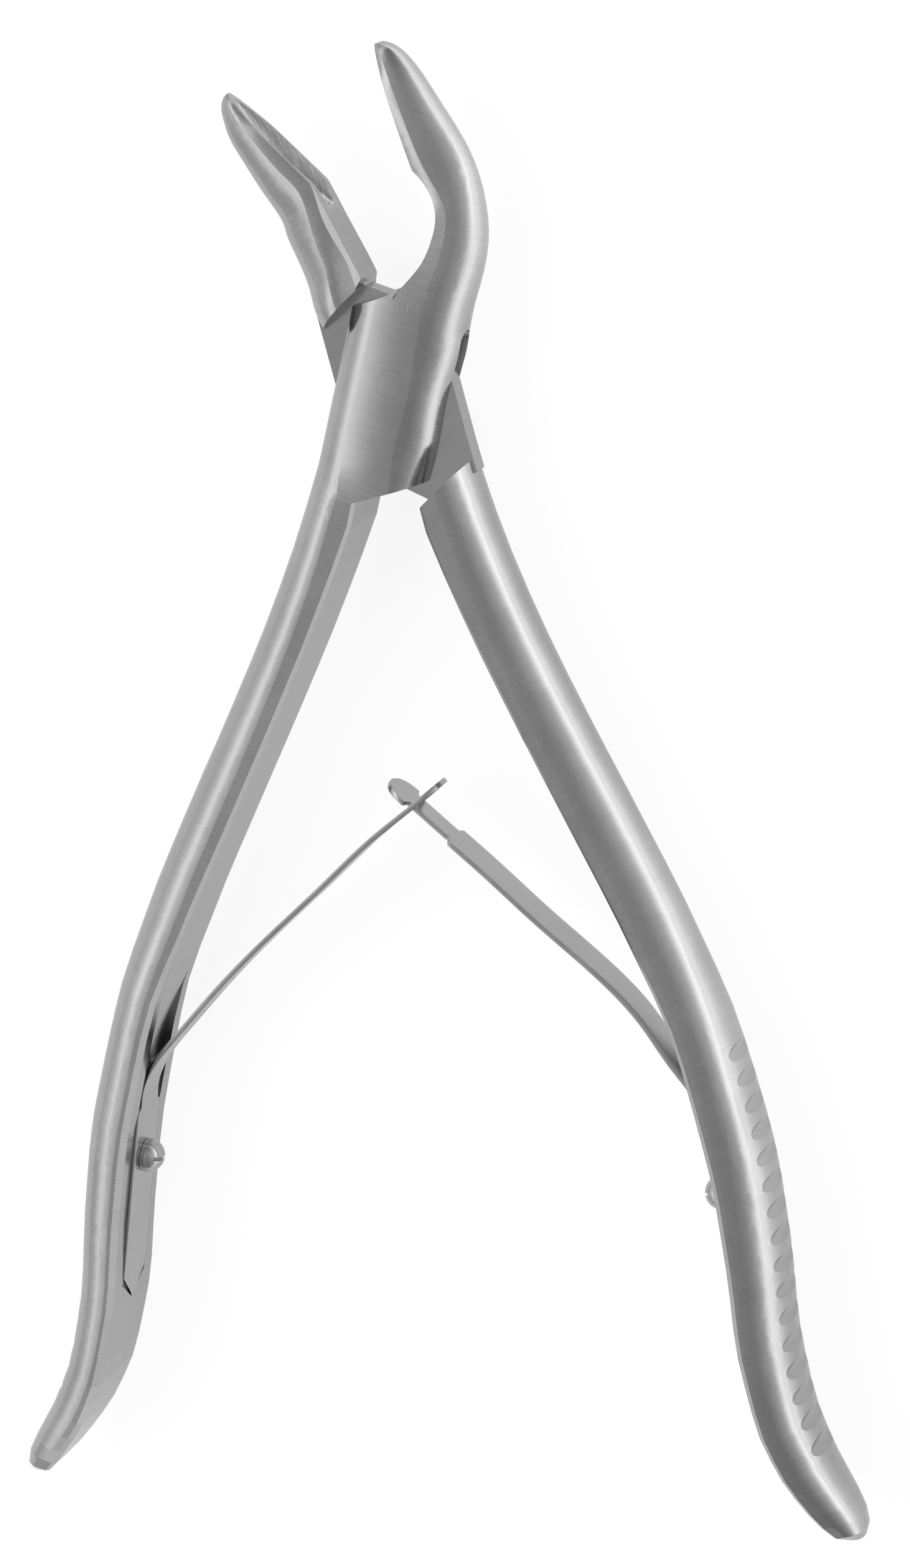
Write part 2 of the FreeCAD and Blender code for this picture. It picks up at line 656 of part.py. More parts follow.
def ribbon(name, foot, arm, wide):
    # the leaf from the side: its straight foot and, with an arm, the curved rest
    low, high = foot
    way = high - low
    way.normalize()
    across = Vector(-way.y, way.x, 0) * (size("leaf_thickness") / 2)
    if arm is None:
        loop = [low + across, high + across, high - across, low - across]
        return slab(name, keep(name + "Side", Part.Face(Part.makePolygon(loop + loop[:1]))), axisZ, wide, wide)
    curve = Part.BSplineCurve()
    curve.interpolate(Points=[high] + arm, InitialTangent=way, FinalTangent=(arm[-1] - arm[-2]).normalize())
    count = 12
    faces = ([], [])
    for index in range(count + 1):
        here = curve.FirstParameter + (curve.LastParameter - curve.FirstParameter) * index / count
        point = curve.value(here)
        along = curve.tangent(here)[0]
        normal = Vector(-along.y, along.x, 0) * (size("leaf_thickness") / 2)
        faces[0].append(point + normal)
        faces[1].append(point - normal)
    edges = []
    for points in faces:
        edge = Part.BSplineCurve()
        edge.interpolate(Points=points, InitialTangent=way, FinalTangent=(points[-1] - points[-2]).normalize())
        edges.append(edge.toShape())
    edges.append(Part.makeLine(faces[0][0], low + across))
    edges.append(Part.makeLine(low + across, low - across))
    edges.append(Part.makeLine(low - across, faces[1][0]))
    edges.append(Part.makeLine(faces[0][-1], faces[1][-1]))
    face = keep(name + "Side", Part.Face(Part.Wire(Part.__sortEdges__(edges))))
    return slab(name, face, axisZ, wide, wide)


def planTool(name, origin, way, points):
    # prism standing on the leaf, its outline given along the leaf and across it
    normal = Vector(-way.y, way.x, 0)
    loop = [origin + way * along + axisZ * across - normal * 5 for along, across in points]
    face = keep(name + "Plan", Part.Face(Part.makePolygon(loop + loop[:1])))
    tool = doc.addObject("Part::Extrusion", name)
    tool.Base = face
    tool.DirMode = "Custom"
    tool.Dir = normal
    tool.LengthFwd = 10.0
    tool.Solid = True
    return tool


def roundTool(name, origin, way, radius, back):
    # what lies outside a full round end of that radius
    normal = Vector(-way.y, way.x, 0)
    low = origin - normal * 5
    middle = low + way * (-radius)
    arc = Part.Arc(middle + axisZ * radius, low, middle - axisZ * radius).toShape()
    corner = [middle + axisZ * (radius + back), low + way * 6 + axisZ * (radius + back),
              low + way * 6 - axisZ * (radius + back), middle - axisZ * (radius + back)]
    edges = [arc, Part.makeLine(middle - axisZ * radius, corner[3]), Part.makeLine(corner[3], corner[2]),
             Part.makeLine(corner[2], corner[1]), Part.makeLine(corner[1], corner[0]),
             Part.makeLine(corner[0], middle + axisZ * radius)]
    face = keep(name + "Plan", Part.Face(Part.Wire(edges)))
    tool = doc.addObject("Part::Extrusion", name)
    tool.Base = face
    tool.DirMode = "Custom"
    tool.Dir = normal
    tool.LengthFwd = 10.0
    tool.Solid = True
    return tool


def leaf(name, side, arm):
    # foot on its seat, then the bend and the arm across the opening
    low, high = seatLine(side)
    way = high - low
    way.normalize()
    inward = Vector(-way.y, way.x, 0) * side
    lift = inward * (size("leaf_thickness") / 2 + size("leaf_rest"))
    path = [low + lift, high + lift + way * size("bend_start")]
    points = [Vector(side * x, y, 0) for x, y in arm]
    foot = ribbon(name + "Foot", (path[0], high + lift), None, "Sizes.foot_width / 2")
    armRibbon = ribbon(name + "Arm", path, points, "Sizes.leaf_width / 2")
    blank = join(name + "Blank", [foot, armRibbon])
    way = path[1] - path[0]
    way.normalize()
    wide = size("foot_width") / 2 + 1
    vee = size("foot_vee") / (size("foot_width") / 2) * wide
    upperVee = planTool(name + "VeeUp", path[0], way, [(-3, 0), (0, 0), (vee, wide), (-3, wide)])
    lowerVee = planTool(name + "VeeDown", path[0], way, [(-3, 0), (0, 0), (vee, -wide), (-3, -wide)])
    pointed = cut(name + "Pointed", blank, join(name + "Vee", [upperVee, lowerVee]))
    hole = doc.addObject("Part::Cylinder", name + "Hole")
    hole.setExpression("Radius", "Sizes.screw_shank / 2 + Sizes.screw_gap")
    hole.Height = 6.0
    hole.Placement = screwPlace(side).multiply(FreeCAD.Placement(Vector(0, 0, -3), FreeCAD.Rotation()))
    drilled = cut(name + "Drilled", pointed, hole)
    endWay = points[-1] - points[-2]
    endWay.normalize()
    return drilled, points[-1], endWay


LEFT_ARM = [(12.3, -108.9), (7.3, -99.1), (1.25, -88.7), (-5.3, -78.3), (-11.65, -68.15), (-16.95, -60.95),
            (-19.4, -57.4)]
RIGHT_ARM = [(13.5, -107.9), (10.75, -100.85), (5.35, -91.7), (-1.25, -82.7), (-7.6, -73.55), (-12.45, -66.9),
             (-16.4, -61.45), (-18.9, -58.1)]

leftBlank, leftTip, leftWay = leaf("LeftLeaf", -1, LEFT_ARM)
leftEnd = roundTool("LeftLeafEnd", leftTip, leftWay, size("leaf_width") / 2, 2.0)
leftRounded = cut("LeftLeafRounded", leftBlank, leftEnd)
wall = (size("leaf_width") - size("window_width")) / 2
halfWindow = size("window_width") / 2
leftWindow = planTool("LeftLeafWindow", leftTip, leftWay,
                      [(-wall - 0.8, halfWindow * 0.55), (-wall - 0.8 - halfWindow * 0.45, halfWindow),
                       (-wall - size("window_length"), halfWindow),
                       (-wall - size("window_length"), -halfWindow),
                       (-wall - 0.8 - halfWindow * 0.45, -halfWindow), (-wall - 0.8, -halfWindow * 0.55)])
leftLeaf = cut("LeftLeafSpring", leftRounded, leftWindow)
leftLeaf.Label = "left_leaf_spring"
leftLeaf.Placement = openTurn(-1)

rightBlank, rightTip, rightWay = leaf("RightLeaf", 1, RIGHT_ARM)
rightEnd = roundTool("RightLeafEnd", rightTip, rightWay, size("leaf_width") / 2, 2.0)
rightRounded = cut("RightLeafRounded", rightBlank, rightEnd)
halfNeck = size("neck_width") / 2
outside = size("leaf_width") / 2 + 1
neckTools = []
for name, sign in (("RightLeafNeckUp", 1), ("RightLeafNeckDown", -1)):
    neckTools.append(planTool(name, rightTip, rightWay,
                              [(-size("head_length"), sign * halfNeck), (-size("head_length"), sign * outside),
                               (-size("head_length") - size("neck_length"), sign * outside),
                               (-size("head_length") - size("neck_length"), sign * halfNeck)]))
rightLeaf = cut("RightLeafSpring", rightRounded, join("RightLeafNeck", neckTools))
rightLeaf.Label = "right_leaf_spring"
rightLeaf.Placement = openTurn(1)


# slotted screws that hold the leaves

def screw(name, label, side):
    head = size("screw_head") / 2
    dome = size("screw_dome")
    shank = size("screw_shank") / 2
    seatTop = size("leaf_thickness") + 2 * size("leaf_rest")
    low = seatTop + dome * 0.22
    rise = seatTop + dome - low
    ball = (head ** 2 + rise ** 2) / (2 * rise)
    middle = seatTop + dome - ball
    half = math.asin(head / ball) / 2
    arc = Part.Arc(Vector(head, 0, low),
                   Vector(ball * math.sin(half), 0, middle + ball * math.cos(half)),
                   Vector(0, 0, seatTop + dome))
    end = -size("screw_length") + 0.4
    edges = [Part.makeLine(Vector(0, 0, end), Vector(shank, 0, end)),
             Part.makeLine(Vector(shank, 0, end), Vector(shank, 0, seatTop)),
             Part.makeLine(Vector(shank, 0, seatTop), Vector(head, 0, seatTop)),
             Part.makeLine(Vector(head, 0, seatTop), Vector(head, 0, low)),
             arc.toShape(),
             Part.makeLine(Vector(0, 0, seatTop + dome), Vector(0, 0, end))]
    face = keep(name + "Half", Part.Face(Part.Wire(edges)))
    turned = doc.addObject("Part::Revolution", name + "Turned")
    turned.Source = face
    turned.Axis = axisZ
    turned.Angle = 360.0
    turned.Solid = False
    drive = doc.addObject("Part::Box", name + "Drive")
    drive.setExpression("Length", "Sizes.screw_drive")
    drive.setExpression("Width", "Sizes.screw_head + 2")
    drive.setExpression("Height", "Sizes.screw_drive_depth + 1")
    drive.Placement.Base = Vector(-size("screw_drive") / 2, -head - 1, seatTop + dome - size("screw_drive_depth"))
    made = cut(name, turned, drive)
    made.Label = label
    made.Placement = openTurn(side).multiply(screwPlace(side))
    return made


leftScrew = screw("LeftScrew", "left_spring_screw", -1)
rightScrew = screw("RightScrew", "right_spring_screw", 1)

doc.recompute()

nodes = [femaleHalf, maleHalf, pin, leftLeaf, rightLeaf, leftScrew, rightScrew]
faults = [made.Name for made in doc.Objects if "Invalid" in made.State or "Error" in made.State]
for node in nodes:
    shape = node.Shape
    if shape.isNull() or not shape.isValid() or len(shape.Solids) != 1:
        faults.append(node.Label)
if faults:
    raise RuntimeError("these did not build: " + ", ".join(faults))
for node in nodes:
    node.Shape.exportStep("parts/%s.step" % node.Label)
    print(node.Label, round(node.Shape.Volume, 1), [round(number, 1) for number in (
        node.Shape.BoundBox.XMin, node.Shape.BoundBox.YMin, node.Shape.BoundBox.ZMin,
        node.Shape.BoundBox.XMax, node.Shape.BoundBox.YMax, node.Shape.BoundBox.ZMax)])
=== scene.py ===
import bpy
import math
import numpy as np
from mathutils import Matrix, Vector


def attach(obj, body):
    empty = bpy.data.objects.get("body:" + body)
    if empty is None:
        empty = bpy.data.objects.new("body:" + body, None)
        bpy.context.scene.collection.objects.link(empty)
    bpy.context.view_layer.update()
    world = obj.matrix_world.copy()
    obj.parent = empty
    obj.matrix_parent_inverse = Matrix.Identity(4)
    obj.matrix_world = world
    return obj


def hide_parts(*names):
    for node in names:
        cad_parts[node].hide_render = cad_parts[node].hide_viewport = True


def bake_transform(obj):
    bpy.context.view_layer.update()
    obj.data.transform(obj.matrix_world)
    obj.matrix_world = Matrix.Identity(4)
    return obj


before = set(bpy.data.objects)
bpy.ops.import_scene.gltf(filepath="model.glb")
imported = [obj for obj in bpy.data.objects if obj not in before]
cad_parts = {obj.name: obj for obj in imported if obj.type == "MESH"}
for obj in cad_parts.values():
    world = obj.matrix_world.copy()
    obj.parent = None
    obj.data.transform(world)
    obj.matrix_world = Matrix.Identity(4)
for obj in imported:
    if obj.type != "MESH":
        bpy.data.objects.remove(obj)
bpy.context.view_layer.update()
print("frame loaded:", sorted(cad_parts))

mm = 0.001
midPlane = 6.5                   # height of the middle of the box over the origin, mm
halfSwing = math.radians(14.3)   # each half from closed to open


def colour(hexValue):
    # sRGB hex to the linear values that sockets take
    channels = [int(hexValue[i:i + 2], 16) / 255 for i in (0, 2, 4)]
    return tuple(c / 12.92 if c <= 0.04045 else ((c + 0.055) / 1.055) ** 2.4 for c in channels) + (1.0,)


def addNode(tree, kind, inputs=(), **settings):
    # inputs in order or by name; each is a value, a socket, or a node that gives its first output
    node = tree.nodes.new(kind)
    for name, value in settings.items():
        setattr(node, name, value)
    given = inputs.items() if isinstance(inputs, dict) else enumerate(inputs)
    for name, value in given:
        if isinstance(value, bpy.types.Node):
            value = value.outputs[0]
        if isinstance(value, bpy.types.NodeSocket):
            tree.links.new(value, node.inputs[name])
        else:
            node.inputs[name].default_value = value
    return node


def opened(point, side):
    # a point of the closed drawing, in mm, at its open place
    c, s = math.cos(side * halfSwing), math.sin(side * halfSwing)
    return (point[0] * c - point[1] * s, point[0] * s + point[1] * c)


# camera, found from the photograph
camera = {
    "azimuth": 18.5,               # degrees, towards +X
    "pitch": 14.0,                 # degrees, towards +Y
    "roll": 1.5,
    "distance": 745.0,             # mm
    "shift": (-7.4461, 59.4398),   # mm from the rivet to the middle of the picture
    "focalPixels": 8195.0,
    "longSide": 2520,              # pixels
    "sensor": 36.0,                # mm
    "nearClip": 10.0,              # mm
}


def makeCamera(v):
    azimuth, pitch, roll = (math.radians(v[name]) for name in ("azimuth", "pitch", "roll"))
    right = Vector((math.cos(azimuth), 0, -math.sin(azimuth)))
    out = Vector((math.sin(azimuth), 0, math.cos(azimuth)))
    up = Vector((0, math.cos(pitch), 0)) - out * math.sin(pitch)
    back = Vector((0, math.sin(pitch), 0)) + out * math.cos(pitch)
    turnedRight = right * math.cos(roll) - up * math.sin(roll)
    turnedUp = up * math.cos(roll) + right * math.sin(roll)
    place = back * v["distance"] - turnedRight * v["shift"][0] - turnedUp * v["shift"][1]
    place.z += midPlane
    bpy.ops.object.camera_add()
    made = bpy.context.object
    made.name = "photoCamera"
    turn = Matrix((turnedRight, turnedUp, back)).transposed()
    made.matrix_world = Matrix.Translation(place * mm) @ turn.to_4x4()
    made.data.sensor_width = v["sensor"]
    made.data.sensor_fit = "AUTO"
    made.data.lens = v["focalPixels"] / v["longSide"] * v["sensor"]
    made.data.clip_start = v["nearClip"] * mm
    bpy.context.scene.camera = made


makeCamera(camera)
print("camera set")

# stainless steel, belt ground to a satin: a soft grey metal with fine short scratches that run round each
# handle like rings, blurred lights, a little clouding from handling and a few fine pits
steel = {
    "colour": "C3C3C3",
    "roughness": 0.18,
    "scratchRough": (-0.04, 0.06),   # what a scratch takes from or adds to the roughness
    "cloudRough": (-0.03, 0.04),
    "brushLength": 3.5,              # mm of one grinding scratch
    "brushWidth": 0.06,              # mm, about a 180 grit belt
    "scratchTone": 0.10,             # how much scratches vary the brightness
    "cloudTone": 0.10,
    "cloudSize": 11.0,               # mm
    "pitTone": 0.07,
    "pitSize": 0.25,                 # mm, drawn coarser than real ones, which wouldn't show
    "noiseSpan": (0.3, 0.7),         # where in a noise's range its change begins and ends
    "pitSpan": (0.62, 0.72),         # only its highest spots are pits
    "bumpStrength": 0.15,
    "bumpHeight": 0.01,              # mm
}
# dark hairline where the rivet's head was ground flush with the box
seam = {
    "width": 0.10,                   # mm
    "tone": 0.12,
}
# ground hollow of the bite, cut by a small wheel: fine hatching across it, its scratch lines drawn lighter as
# painted glints
hollow = {
    "ends": ((-14.27, 45.38), (-4.0, 29.39)),   # front and rear end on the cutting line, mm, drawn closed
    "radius": 3.6,                   # mm from that line
    "rim": 0.2,                      # mm over which the hatching fades at the side
    "endFade": (2, 3),               # mm past an end, where it starts to fade and is gone
    "facing": (0.35, 0.5),           # how squarely a face looks at the line
    "tone": (0.04, -0.60),           # a little darker between the scratches; on them, painted glints up to 1.6 times lighter
    "hatchSpan": (0.35, 0.65),
    "roughness": 0.04,               # more than the steel round it
    "brushTurn": 25,                 # degrees, mirrored on the other jaw
    "brushWidth": 0.10,              # mm
    "brushLength": 4.0,
}
# flats that hand grinding crowned a little: the lean of the surface across them
cheek = {
    "axis": -12.0,                   # degrees from straight up
    "from": (-7.5, -0.27),           # mm across, lean
    "to": (4.5, 0.12),
    "middle": 0.0,                   # mm up from the rivet, along the axis
    "reach": 20.0,                   # mm each way from there
    "fade": 7.0,
    "facing": (0.985, 0.998),        # how squarely a face looks out of the box before it leans
}
tongueJaw = {
    "axis": 47.0,
    "from": (3.5, -0.32),
    "to": (12.5, -0.10),
    "middle": 32.0,
    "reach": 19.0,
    "fade": 5.0,
    "facing": (0.86, 0.95),
}


def brushing(tree, place, turnDegrees, v, strip=False):
    # noise drawn out into thin sheets that stand on one direction of the XY plane; on a leaf that
    # stands on edge, into threads along that direction
    turned = addNode(tree, "ShaderNodeMapping", {
        "Vector": place, "Rotation": (0, 0, math.radians(-turnDegrees))})
    fine = 0.5 / (v["brushWidth"] * mm)
    along = 1 / (v["brushLength"] * mm)
    stretched = addNode(tree, "ShaderNodeMapping", {
        "Vector": turned, "Scale": (along, along, fine) if strip else (fine, along, along)})
    return addNode(tree, "ShaderNodeTexNoise", {
        "Vector": stretched, "Scale": 1.0, "Detail": 3.0, "Roughness": 0.6})


def seamMask(tree, place, radius):
    # one on a circle round the rivet's axis, fading over the width of the seam
    flat = addNode(tree, "ShaderNodeVectorMath", (place, (1, 1, 0)), operation="MULTIPLY")
    away = addNode(tree, "ShaderNodeVectorMath", (flat,), operation="LENGTH").outputs["Value"]
    off = addNode(tree, "ShaderNodeMath", (away, radius * mm), operation="SUBTRACT")
    off = addNode(tree, "ShaderNodeMath", (off,), operation="ABSOLUTE")
    return addNode(tree, "ShaderNodeMapRange", (off, 0.0, seam["width"] * mm, 1.0, 0.0))


def hollowMask(tree, place, side, v):
    # one near the line through the hollow's ends, on faces that look at that line
    start, end = (Vector(opened(point, side)) for point in v["ends"])
    halfLength = (end - start).length / 2
    way = (*(end - start).normalized(), 0)
    startPoint = Vector((*start, midPlane)) * mm
    rel = addNode(tree, "ShaderNodeVectorMath", (place, startPoint), operation="SUBTRACT")
    inward = addNode(tree, "ShaderNodeVectorMath", (rel, way), operation="CROSS_PRODUCT")
    inward = addNode(tree, "ShaderNodeVectorMath", (inward, way), operation="CROSS_PRODUCT")
    away = addNode(tree, "ShaderNodeVectorMath", (inward,), operation="LENGTH").outputs["Value"]
    inward = addNode(tree, "ShaderNodeVectorMath", (inward,), operation="NORMALIZE")
    face = addNode(tree, "ShaderNodeNewGeometry").outputs["True Normal"]
    looks = addNode(tree, "ShaderNodeVectorMath", (inward, face), operation="DOT_PRODUCT").outputs["Value"]
    along = addNode(tree, "ShaderNodeVectorMath", (rel, way), operation="DOT_PRODUCT").outputs["Value"]
    past = addNode(tree, "ShaderNodeMath", (along, halfLength * mm), operation="SUBTRACT")
    past = addNode(tree, "ShaderNodeMath", (past,), operation="ABSOLUTE")
    beside = addNode(tree, "ShaderNodeMapRange", (
        away, v["radius"] * mm, (v["radius"] + v["rim"]) * mm, 1.0, 0.0))
    between = addNode(tree, "ShaderNodeMapRange", (
        past, (halfLength + v["endFade"][0]) * mm, (halfLength + v["endFade"][1]) * mm, 1.0, 0.0))
    facing = addNode(tree, "ShaderNodeMapRange", (looks, *v["facing"], 0.0, 1.0))
    mask = addNode(tree, "ShaderNodeMath", (beside, between), operation="MULTIPLY")
    return addNode(tree, "ShaderNodeMath", (mask, facing), operation="MULTIPLY")


def crowned(tree, place, normal, v):
    # the lean is only given to faces that look straight out of the box
    turned = math.radians(v["axis"])
    across = Vector((math.cos(turned), math.sin(turned), 0))
    along = Vector((-math.sin(turned), math.cos(turned), 0))
    where = addNode(tree, "ShaderNodeVectorMath", (place, across), operation="DOT_PRODUCT").outputs["Value"]
    height = addNode(tree, "ShaderNodeVectorMath", (place, along), operation="DOT_PRODUCT").outputs["Value"]
    lean = addNode(tree, "ShaderNodeMapRange", (
        where, v["from"][0] * mm, v["to"][0] * mm, v["from"][1], v["to"][1]))
    face = addNode(tree, "ShaderNodeNewGeometry").outputs["True Normal"]
    facing = addNode(tree, "ShaderNodeSeparateXYZ", (face,)).outputs["Z"]
    facing = addNode(tree, "ShaderNodeMath", (facing,), operation="ABSOLUTE")
    facing = addNode(tree, "ShaderNodeMapRange", (facing, *v["facing"], 0.0, 1.0))
    off = addNode(tree, "ShaderNodeMath", (height, v["middle"] * mm), operation="SUBTRACT")
    off = addNode(tree, "ShaderNodeMath", (off,), operation="ABSOLUTE")
    within = addNode(tree, "ShaderNodeMapRange", (
        off, (v["reach"] - v["fade"]) * mm, v["reach"] * mm, 1.0, 0.0))
    lean = addNode(tree, "ShaderNodeMath", (lean, facing), operation="MULTIPLY")
    lean = addNode(tree, "ShaderNodeMath", (lean, within), operation="MULTIPLY")
    push = addNode(tree, "ShaderNodeVectorMath", {0: across, "Scale": lean}, operation="SCALE")
    leaned = addNode(tree, "ShaderNodeVectorMath", (normal, push), operation="ADD")
    return addNode(tree, "ShaderNodeVectorMath", (leaned,), operation="NORMALIZE")


def makeSteel(name, turnDegrees, seamRadius=None, hollowSide=None, crown=None, strip=False, **changes):
    v = {**steel, **changes}
    made = bpy.data.materials.new(name)
    made.use_nodes = True
    tree = made.node_tree
    tree.nodes.clear()
    place = addNode(tree, "ShaderNodeTexCoord").outputs["Object"]
    scratches = brushing(tree, place, turnDegrees, v, strip)
    cloud = addNode(tree, "ShaderNodeTexNoise", {
        "Vector": place, "Scale": 1 / (v["cloudSize"] * mm), "Detail": 3.0, "Roughness": 0.55})
    pits = addNode(tree, "ShaderNodeTexNoise", {
        "Vector": place, "Scale": 1 / (v["pitSize"] * mm), "Detail": 2.0, "Roughness": 0.5})

    # brightness: each pattern takes its part of it
    tones = [(scratches, *v["noiseSpan"], 1 - v["scratchTone"], 1.0),
             (cloud, *v["noiseSpan"], 1 - v["cloudTone"], 1.0),
             (pits, *v["pitSpan"], 1.0, 1 - v["pitTone"])]
    if seamRadius:
        tones.append((seamMask(tree, place, seamRadius), 0.0, 1.0, 1.0, 1 - seam["tone"]))
    tone = addNode(tree, "ShaderNodeMapRange", tones[0])
    for span in tones[1:]:
        tone = addNode(tree, "ShaderNodeMath", (tone, addNode(tree, "ShaderNodeMapRange", span)),
                       operation="MULTIPLY")

    # blur: scratches scatter more light than the clouding does
    scratchRough = addNode(tree, "ShaderNodeMapRange", (
        scratches, *v["noiseSpan"], *(v["roughness"] + change for change in v["scratchRough"])))
    cloudRough = addNode(tree, "ShaderNodeMapRange", (cloud, *v["noiseSpan"], *v["cloudRough"]))
    rough = addNode(tree, "ShaderNodeMath", (scratchRough, cloudRough), operation="ADD")
    height = scratches
    if hollowSide:
        inside = hollowMask(tree, place, hollowSide, hollow)
        hatch = brushing(tree, place, hollow["brushTurn"] * hollowSide, hollow)
        # the hatching is the hollow's own grain; its much lighter scratch lines are painted glints, a painted
        # highlight in the base colour
        change = addNode(tree, "ShaderNodeMapRange", (hatch, *hollow["hatchSpan"], *hollow["tone"]))
        change = addNode(tree, "ShaderNodeMath", (inside, change), operation="MULTIPLY")
        hatchGrainAndPaintedGlint = addNode(tree, "ShaderNodeMath", (1.0, change), operation="SUBTRACT")
        tone = addNode(tree, "ShaderNodeMath", (tone, hatchGrainAndPaintedGlint), operation="MULTIPLY")
        more = addNode(tree, "ShaderNodeMath", (inside, hollow["roughness"]), operation="MULTIPLY")
        rough = addNode(tree, "ShaderNodeMath", (rough, more), operation="ADD")
        hatched = addNode(tree, "ShaderNodeMath", (inside, hatch), operation="MULTIPLY")
        height = addNode(tree, "ShaderNodeMath", (height, hatched), operation="ADD")

    base = addNode(tree, "ShaderNodeVectorMath", {
        0: colour(v["colour"])[:3], "Scale": tone}, operation="SCALE")
    normal = addNode(tree, "ShaderNodeBump", {
        "Height": height, "Strength": v["bumpStrength"], "Distance": v["bumpHeight"] * mm})
    if crown:
        normal = crowned(tree, place, normal, crown)
    shader = addNode(tree, "ShaderNodeBsdfPrincipled", {
        "Base Color": base, "Metallic": 1.0, "Roughness": rough, "Normal": normal})
    addNode(tree, "ShaderNodeOutputMaterial", {"Surface": shader})
    return made


paint = {
    "female_half": makeSteel("beltGroundStainlessSlottedHalf", 71, seamRadius=2.08, hollowSide=-1,
                             crown=cheek),
    "male_half": makeSteel("beltGroundStainlessTongueHalf", -68, hollowSide=1, crown=tongueJaw),
    # ground in one pass with the box, so the scratches run on over its head
    "pivot_pin": makeSteel("flushGroundStainlessRivet", 71, seamRadius=2.0, crown=cheek),
    # turned on a lathe and lightly ground: a touch brighter than the halves
    "left_spring_screw": makeSteel("turnedStainlessScrewLeft", 60, colour="C8C8C8"),
    "right_spring_screw": makeSteel("turnedStainlessScrewRight", -60, colour="C8C8C8"),
}
for node, material in paint.items():
    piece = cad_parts[node]
    piece.data.materials.clear()
    piece.data.materials.append(material)
print("steel painted")

# leaf springs: a strip bent along its path, with its own plan at both ends
leaf = {
    "thickness": 0.75,         # mm, as all here but the last three
    "footWidth": 8.8,
    "footLength": 31.6,        # along the strip, to where it steps in to the arm's width
    "pointLength": 4.0,        # pointed low end of the foot
    "pointWidth": 0.3,
    "armWidth": 6.8,
    "headLength": 4.4,         # round end
    "headWidth": 0.4,          # at its very tip
    "neckWidth": 4.2,
    "windowWidth": 4.7,
    "lift": 0.425,             # middle of the strip over its seat
    "bendStart": 1.5,          # past the shoulder of the foot
    "edgeRound": 0.12,
    "step": 0.5,               # between rows along the strip
    "columns": 8,              # across it, the inner half of them as wide as the window
    "edgeAngle": 50,           # degrees, from which an edge is rounded
    "smoothAngle": 35,         # degrees, up to which the shading runs over an edge
}
# the foot's seat from its low to its high end, and the arm across the opening: mm, drawn closed
leftStrip = {
    "side": -1,                # left handle, turned clockwise to open
    "foot": ((-12.206, -153.652), (-15.948, -121.914)),
    "screw": (-14.95, -130.378),   # middle of its head's foot
    "arm": [(-12.3, -108.9), (-7.3, -99.1), (-1.25, -88.7), (5.3, -78.3), (11.65, -68.15),
            (16.95, -60.95), (19.4, -57.4)],
    "window": (1.6, 14.4),     # back from the end
    "innerShare": 0.85,        # of the half width, where the window doesn't fit
    "neckEnd": 0,
}
rightStrip = {
    "side": 1,
    "foot": ((13.997, -152.5), (17.291, -121.0)),
    "screw": (16.413, -129.4),
    "arm": [(13.5, -107.9), (10.75, -100.85), (5.35, -91.7), (-1.25, -82.7), (-7.6, -73.55),
            (-12.45, -66.9), (-16.4, -61.45), (-18.9, -58.1)],
    "window": None,
    "innerShare": 0.5,
    "neckEnd": 13.0,           # back from the end, where the neck widens to the arm
}


def smoothPath(strip, v):
    # straight foot, then a cubic through the arm that starts along the foot, in even steps
    low, high = (np.array(point, float) for point in strip["foot"])
    way = (high - low) / np.linalg.norm(high - low)
    inward = np.array((-way[1], way[0])) * strip["side"]
    low = low + inward * v["lift"]
    high = high + inward * v["lift"] + way * v["bendStart"]
    p = np.array([high] + [np.array(point, float) for point in strip["arm"]])
    # t is the length along the points; second, the curvature at each, comes from one linear system
    t = np.concatenate(([0.0], np.cumsum(np.linalg.norm(np.diff(p, axis=0), axis=1))))
    n = len(p)
    gaps = np.diff(t)
    endSlope = (p[-1] - p[-2]) / gaps[-1]
    system = np.zeros((n, n))
    right = np.zeros((n, 2))
    system[0, :2] = 2 * gaps[0], gaps[0]
    right[0] = 6 * ((p[1] - p[0]) / gaps[0] - way)
    system[-1, -2:] = gaps[-1], 2 * gaps[-1]
    right[-1] = 6 * (endSlope - (p[-1] - p[-2]) / gaps[-1])
    for i in range(1, n - 1):
        system[i, i - 1:i + 2] = gaps[i - 1], 2 * (gaps[i - 1] + gaps[i]), gaps[i]
        right[i] = 6 * ((p[i + 1] - p[i]) / gaps[i] - (p[i] - p[i - 1]) / gaps[i - 1])
    second = np.linalg.solve(system, right)
    at = np.linspace(0, t[-1], int(t[-1] / v["step"]) + 1)
    k = np.clip(np.searchsorted(t, at, side="right") - 1, 0, n - 2)
    a = ((t[k + 1] - at) / gaps[k])[:, None]
    b = 1 - a
    g = gaps[k][:, None]
    curved = a * p[k] + b * p[k + 1] + ((a ** 3 - a) * second[k] + (b ** 3 - b) * second[k + 1]) * g ** 2 / 6
    rise = np.linalg.norm(high - low)
    straight = [low + way * rise * i / int(rise / v["step"]) for i in range(int(rise / v["step"]))]
    line = np.vstack((straight, curved))
    along = np.concatenate(([0.0], np.cumsum(np.linalg.norm(np.diff(line, axis=0), axis=1))))
    return along, line


def halfWidths(s, total, strip, v):
    # half width at s along the strip, and the part of it that a window there may take
    arm = v["armWidth"] / 2
    left = total - s
    if s < v["pointLength"]:
        half = max(v["pointWidth"] / 2, v["footWidth"] / 2 * s / v["pointLength"])
    elif s < v["footLength"]:
        half = v["footWidth"] / 2
    elif left < arm:
        half = max(v["headWidth"] / 2, math.sqrt(max(0.0, arm ** 2 - (arm - left) ** 2)))
    elif v["headLength"] <= left < strip["neckEnd"]:
        half = v["neckWidth"] / 2
    else:
        half = arm
    return half, min(v["windowWidth"] / 2, half * strip["innerShare"])


